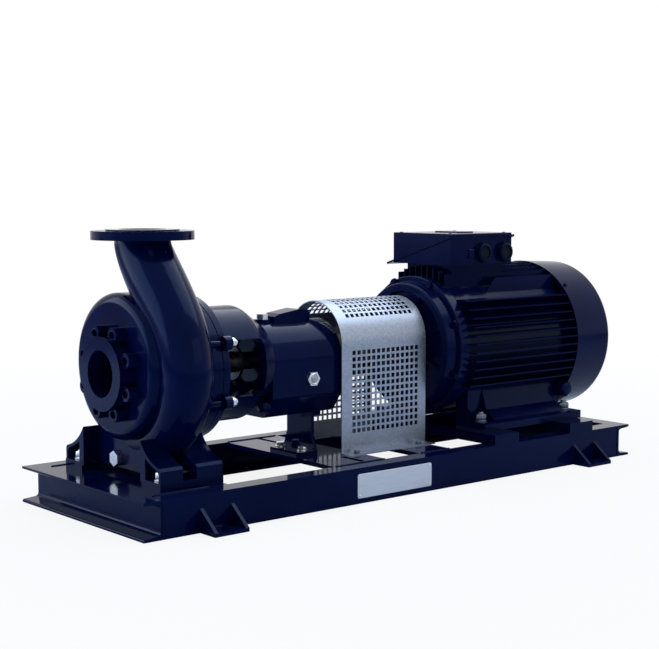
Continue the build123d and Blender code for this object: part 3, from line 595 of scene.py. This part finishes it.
FLANGE_TIP, FINE_BEAD = 203, 1.8
SEAT_PLATES = ((-698, -557), (-218, -70), (41, 136))
CORNERS, BAR_EDGES = (-700, 700), (243, 326, 514, 600)
ANCHORS, RIB_SIDES = (-569, 569), (-42.5, -34.5, 34.5, 42.5)
RIB_BOTTOM, RIB_TOP, SOLE_TOP, SOLE_HALF = 9, 48, 8, 33
beads = []
for side in BOTH:
    tip, face = side * FLANGE_TIP, side * RAIL_FACE
    for x0, x1 in SEAT_PLATES:
        beads.append(bead((x0, tip, FRAME_TOP), (x1, tip, FRAME_TOP)))
    for x in CORNERS:
        beads.append(bead((x, face, 3), (x, face, FRAME_TOP - 3)))
    for x in BAR_EDGES:
        beads.append(bead((x, tip + side * 4, FRAME_TOP), (x, face - side * 3, FRAME_TOP)))
    for middle in ANCHORS:
        for x in (middle + dx for dx in RIB_SIDES):
            beads.append(bead((x, face, RIB_BOTTOM), (x, face, RIB_TOP), FINE_BEAD))
        ends = ((middle + s * SOLE_HALF, face, SOLE_TOP) for s in BOTH)
        beads.append(bead(*ends, FINE_BEAD))
piece("frame_weld_beads", beads, frame_paint, "frame_paint", crease=80)

# %% [markdown]
# The oil level is read through a small glass in the front of the bearing housing. The solids have
# its plated hexagon, and this adds the pale domed lens and the round ring that holds it. The lens
# is a shallow dome, so its height falls with the square of the radius.

# %% Sight glass
SIGHT_X, SIGHT_Z, HOUSING_FRONT, HEX_DEEP = -190, 262, -85, 10
LENS_R, LENS_EDGE, LENS_RISE = 9.5, 0.4, 2
glass = Finish("sight glass", Specular_IOR_Level=0.5, Coat_Weight=1.0, Coat_Roughness=0.03)
haze = glass.noise(120.0)
cloudy = glass.mix(haze, (0.20, 0.24, 0.32), (0.34, 0.38, 0.46))
glass.vary(Base_Color=cloudy, Roughness=haze * 0.1 + 0.1)
radii = np.linspace(1, 0.1, 8) * LENS_R
dome = [(LENS_EDGE + LENS_RISE * (1 - (r / LENS_R) ** 2), r) for r in radii]
lens = lathe([(0, LENS_R), *dome], 36)
on_hexagon = at(SIGHT_X, HOUSING_FRONT - HEX_DEEP, SIGHT_Z, FRONT)
piece("sight_lens", [set_down(lens, on_hexagon)], glass.material, "zinc_steel")

# %% [markdown]
# A plated ring holds the lens. Unlike a turned bar it has a hole, so its profile is a closed loop,
# and the grid of points joins up with itself both ways and needs no fans.

# %% Ring of the sight glass


def hoop(profile, sides=36):
    """Ring: a closed profile of (radius, height) points carried once round the axis."""
    profile = np.asarray(profile, float)
    turn = np.arange(sides) * 2 * pi / sides
    angle, step = np.meshgrid(turn, np.arange(len(profile)), indexing="ij")
    r, h = profile[step, 0], profile[step, 1]
    points = np.stack([r * np.cos(angle), r * np.sin(angle), h], axis=2) * MM
    k = np.arange(step.size).reshape(step.shape)
    right, up = np.roll(k, -1, axis=0), np.roll(k, -1, axis=1)
    quads = np.stack([k, right, np.roll(right, -1, axis=1), up], axis=2).reshape(-1, 4)
    return points.reshape(-1, 3), quads.tolist()


def torus(major, minor, sides=36, round_steps=12):
    """Ring of round bar: a small circle of the minor radius at the major radius."""
    b = np.arange(round_steps) * 2 * pi / round_steps
    return hoop(np.stack([major + minor * np.cos(b), minor * np.sin(b)], axis=1), sides)


piece("sight_ring", [set_down(torus(11.5, 1.6), on_hexagon)], ZINC, "zinc_steel")

# %% [markdown]
# A rolled lip lines each bolt hole of the suction flange, and a cone plug closes the sump. Inside
# the cowl the rear shield carries a flat rim, which hides the fan from the side. A boss for the
# earth wire stands out from the motor's rear foot. All of these are turned forms: a profile carried
# round an axis.

# %% Bosses, plug and rim
BOSS_X, LIP_R, LIP_THICK = -682, 9.3, 0.9
bosses = around(BOSS_X, 90, evenly(8, 22.5), TO_PUMP)
lip = torus(LIP_R, LIP_THICK, 24, 8)
piece("boss_hole_lips", [set_down(lip, bosses)], **on_pump)
cone = lathe([(0, 16), (3, 16), (14, 12), (17, 11), (18, 9)], 36)
piece("sump_plug", [set_down(cone, at(-301, -62, 205, TO_PUMP))], **on_pump)
rim = hoop([(158, 0), (188, 0), (190, 1), (190, 4), (188, 5), (158, 5)], 96)
piece("fan_shield_rim", [set_down(rim, at(COWL_X, 0, SHAFT_Z, TO_MOTOR))], **on_motor)
boss = lathe([(0, 21), (38, 20), (43, 19), (47, 15), (48, 9)], 48)
piece("earth_boss", [set_down(boss, at(592, -124, 178, FRONT))], **on_motor)

# %% [markdown]
# Between the box's seat and the cowl, one more upright fin stands on each shoulder of the barrel.
# It is a plate whose foot lies on the barrel's circle and whose tip lies on the larger circle
# through all the fin tips. Beside the seat it slopes down, so its tip starts further along than its
# foot.

# %% Shoulder fins
BARREL_R, TIPS_R, SUNK = 168, 196, 3
FIN_Y, FIN_HALF = 105, 1.6
FOOT_X, TIP_X, END_X = 350, 385, 597
foot_half = 1.6 * FIN_HALF
fins = []
for y in (-FIN_Y, FIN_Y):
    foot, tip = (SHAFT_Z + np.sqrt(r * r - y * y) for r in (BARREL_R - SUNK, TIPS_R))
    section = [(y - foot_half, foot), (y + foot_half, foot)]
    section += [(y + FIN_HALF, tip), (y - FIN_HALF, tip)]
    ends = [np.column_stack([xs, section]) for xs in ((FOOT_X, FOOT_X, TIP_X, TIP_X), [END_X] * 4)]
    fins.append(join_up(np.stack(ends) * MM))
piece("shoulder_fins", fins, **on_motor)

# %% [markdown]
# Each cable gland is a hexagon body, a collar and a cap nut with grip ribs, closed by a blind
# rubber seal. The ribs are a cosine of the angle added to the cap's radius. These replace the plain
# glands of the solid model, which are a little small.

# %% Cable glands
BOX_FRONT, GLAND_Z = -102, 534
gland_places = [place for x in (342, 418) for place in at(x, BOX_FRONT, GLAND_Z, FRONT)]
CAP_R, RIB_DEPTH, RIBS = 22.6, 0.5, 24


def grip(a, h):
    """Radius of the cap nut: a circle plus a cosine that goes round once for every rib."""
    return CAP_R + RIB_DEPTH * np.cos(RIBS * a)


nut = lathe([(0, 25), (1, 30), (5, 30), (6, 24)], 48, hexagon(45))
cap_side = [(5, 21), (6.5, 21), (7.5, 30), (12, 30), (13.5, 21)]
cap_mouth = [(14.5, 18.5), (14, 15.5), (10, 14.5)]
cap = lathe(cap_side + cap_mouth, 192, grip)
body_and_cap = [set_down(shape, gland_places) for shape in (nut, cap)]
glands = piece("cable_glands", body_and_cap, finishes["black_plastic"], "black_plastic")
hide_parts("cable_gland_a", "cable_gland_b")
seals = set_down(lathe([(9, 14.4), (11, 14.4), (12, 13), (11.4, 5)], 36), gland_places)
piece("gland_seals", [seals], finishes["coupling_rubber"], "coupling_rubber")

# %% [markdown]
# Thin plates have round corners: the outline is four straight sides, each turning into the next
# through a quarter circle. The same outline at four heights makes the edge and its small bevel.

# %% Thin plates


def plate_outline(half_w, half_h, corner, steps=6):
    """Corner arcs in turn, as (x, y) points round the plate."""
    turn = np.linspace(0, pi / 2, steps)
    arcs = []
    for k, (sx, sy) in enumerate(((1, 1), (-1, 1), (-1, -1), (1, -1))):
        a = turn + k * pi / 2
        x = sx * (half_w - corner) + corner * np.cos(a)
        y = sy * (half_h - corner) + corner * np.sin(a)
        arcs.append(np.stack([x, y], axis=1))
    return np.concatenate(arcs)


def thin_plate(half_w, half_h, corner, thick):
    """Plate standing on its base: the outline at four heights, drawn in a little at the top."""
    grid = []
    for height, inset in ((0, 0), (thick * 0.7, 0), (thick, thick * 0.3), (thick, thick)):
        outline = plate_outline(half_w - inset, half_h - inset, corner)
        grid.append(np.column_stack([outline, np.full(len(outline), height)]))
    return join_up(np.stack(grid) * MM)


# %% [markdown]
# The front rail carries a blank plate of thin pale aluminium, held by four rivets. It was brushed
# lengthways, so its noise is drawn out along X.

# %% Blank plate
plate_metal = Finish("brushed plate", Metallic=1.0)
brushed = plate_metal.noise(1.0, detail=3.0, vector=plate_metal.stretched(25.0, 25.0, 900.0))
pale_grey = plate_metal.mix(brushed, (0.42, 0.45, 0.52), (0.62, 0.65, 0.70))
plate_metal.vary(Base_Color=pale_grey, Roughness=brushed * 0.2 + 0.3)
plate_metal.relief(brushed, 0.03 * MM)
PLATE_X, PLATE_Z, PLATE_HALF_W, PLATE_HALF_H = -80, 39, 112, 27
PLATE_CORNER, PLATE_THICK, RIVET_INSET = 5, 1.2, 6
blank = thin_plate(PLATE_HALF_W, PLATE_HALF_H, PLATE_CORNER, PLATE_THICK)
on_rail = at(PLATE_X, -RAIL_FACE, PLATE_Z, FRONT)
piece("blank_plate", [set_down(blank, on_rail)], plate_metal.material, "zinc_steel")
rivet = lathe([(0, 2.2), (0.6, 2.1), (1.2, 1.5), (1.5, 0.5)], 16)
rivet_places = []
for dx in (s * (PLATE_HALF_W - RIVET_INSET) for s in BOTH):
    for dz in (s * (PLATE_HALF_H - RIVET_INSET) for s in BOTH):
        rivet_places += at(PLATE_X + dx, -RAIL_FACE - PLATE_THICK, PLATE_Z + dz, FRONT)
piece("blank_plate_rivets", [set_down(rivet, rivet_places)], ZINC, "zinc_steel")

# %% [markdown]
# The same kind of plate, painted over, makes two small covers on the terminal box: a raised pad on
# the lid and a square blank beside the cable glands, where a third cable could enter.

# %% Covers of the terminal box
pad = thin_plate(half_w=47, half_h=24, corner=5, thick=3)
square = thin_plate(half_w=11, half_h=11, corner=2, thick=3)
covers = [set_down(pad, at(345, 0, LID_TOP, UP)), set_down(square, at(305, BOX_FRONT, 532, FRONT))]
piece("terminal_box_covers", covers, **on_motor)

# %% [markdown]
# The camera stands where the photograph's stood, found by fitting the frame's corners, both flanges
# and the guard. Its lens follows from the fitted focal length in pixels and the sensor's width.

# %% Camera
FOCAL_PX, IMAGE_W, SENSOR_MM = 1436.99, 659, 36.0
YAW, PITCH, STANDPOINT = 0.69583, 0.09292, (-2.23381, -2.59622, 0.68709)
lens_data = bpy.data.cameras.new("camera")
lens_data.sensor_width = SENSOR_MM
lens_data.lens = SENSOR_MM * FOCAL_PX / IMAGE_W
lens_data.clip_end = 60.0
camera = bpy.data.objects.new("camera", lens_data)
bpy.context.scene.collection.objects.link(camera)
camera.location = STANDPOINT
ahead = Vector((sin(YAW) * cos(PITCH), cos(YAW) * cos(PITCH), -sin(PITCH)))
camera.rotation_euler = ahead.to_track_quat("-Z", "Y").to_euler()
bpy.context.scene.camera = camera
print("lens", round(lens_data.lens, 2), "mm")

# %% [markdown]
# The floor is plain, pale and a little cool, which the enamel mirrors. What the camera sees of it
# is mixed with white light, so it reads as white and still keeps the set's shadow. Further out the
# mix turns wholly white, so no horizon shows.

# %% Floor
FLOOR_HALF, FLOOR_SUNK = 14.0, 0.5 * MM
CLEAR_OF_SHADOW, ALL_WHITE, NEAR_WHITE = 1.0, 2.6, 0.88
floor_mesh = bpy.data.meshes.new("floor")
square_corners = ((-1, -1), (1, -1), (1, 1), (-1, 1))
corners = [(x * FLOOR_HALF, y * FLOOR_HALF, -FLOOR_SUNK) for x, y in square_corners]
floor_mesh.from_pydata(corners, [], [(0, 1, 2, 3)])
floor = bpy.data.objects.new("floor", floor_mesh)
bpy.context.scene.collection.objects.link(floor)


def seen_directly(tree, and_glossy):
    """1 for rays from the camera, and where asked for reflected and transmitted rays too."""
    path = tree.nodes.new("ShaderNodeLightPath")
    seen = Signal(tree, path.outputs["Is Camera Ray"])
    if and_glossy:
        for ray in ("Is Glossy Ray", "Is Transmission Ray"):
            seen = seen + Signal(tree, path.outputs[ray])
    return seen.clamped()


pale = Finish("pale floor", Base_Color=(0.58, 0.66, 0.80), Roughness=0.9, Specular_IOR_Level=0.1)
white = pale.node("ShaderNodeEmission", {}, {}, "Emission")
painted = Signal(pale.tree, pale.shader.outputs["BSDF"])
distance = pale.node("ShaderNodeVectorMath", {"operation": "LENGTH"}, {0: pale.place}, "Value")
away = distance.between(CLEAR_OF_SHADOW, ALL_WHITE)
share = seen_directly(pale.tree, False) * (away * (1 - NEAR_WHITE) + NEAR_WHITE)
blend = pale.node("ShaderNodeMixShader", {}, {0: share, 1: painted, 2: white}, "Shader")
pale.feed(pale.output, "Surface", blend)
floor_mesh.materials.append(pale.material)
print("floor", 2 * FLOOR_HALF, "m wide")

# %% [markdown]
# The world is white to the camera, to reflections and through glass, and a soft grey as a light.
# So the picture has a white ground, and the lamps still decide which way the shadows fall.

# %% World
SKY_LIGHT = 0.35
world = bpy.data.worlds.new("studio")
world.use_nodes = True
bpy.context.scene.world = world
sky = world.node_tree
background = next(n for n in sky.nodes if n.type == "BACKGROUND")
background.inputs["Color"].default_value = (1.0, 1.0, 1.0, 1.0)
strength = seen_directly(sky, True) * (1 - SKY_LIGHT) + SKY_LIGHT
sky.links.new(strength.socket, background.inputs["Strength"])
print("sky light", SKY_LIGHT)

# %% [markdown]
# A broad soft lamp hangs over the set. The main one stands off the pump end, a little behind: there
# the faces that look along the shaft mirror it to the camera, and the front ones don't, which gives
# the enamel its deep contrast. Both are a little cool, like daylight. A weak third lifts the front.

# %% Lamps
COOL, COOLER, NEUTRAL = (0.84, 0.92, 1.0), (0.72, 0.86, 1.0), (1, 1, 1)
MIDDLE, PUMP = (0, 0, 0.3), (-0.5, 0, 0.3)


def soft_lamp(name, place, target, size, watts, tint):
    """Rectangular lamp that looks from its place to the target."""
    data = bpy.data.lights.new(name, "AREA")
    data.shape, data.energy, data.color = "RECTANGLE", watts, tint
    data.size, data.size_y = size
    lamp = bpy.data.objects.new(name, data)
    bpy.context.scene.collection.objects.link(lamp)
    lamp.location = place
    lamp.rotation_euler = (Vector(target) - Vector(place)).to_track_quat("-Z", "Y").to_euler()
    print(name, "lamp", watts, "W")


soft_lamp("overhead", (1.1, 0.2, 3.1), MIDDLE, size=(4.6, 2.8), watts=120, tint=COOL)
soft_lamp("pump end", (-2.6, 1.4, 1.4), PUMP, size=(3.0, 1.8), watts=58, tint=COOLER)
soft_lamp("front", (0.8, -3.5, 1.6), MIDDLE, size=(2.4, 1.4), watts=9, tint=NEUTRAL)
bpy.context.scene.view_settings.view_transform = "Standard"
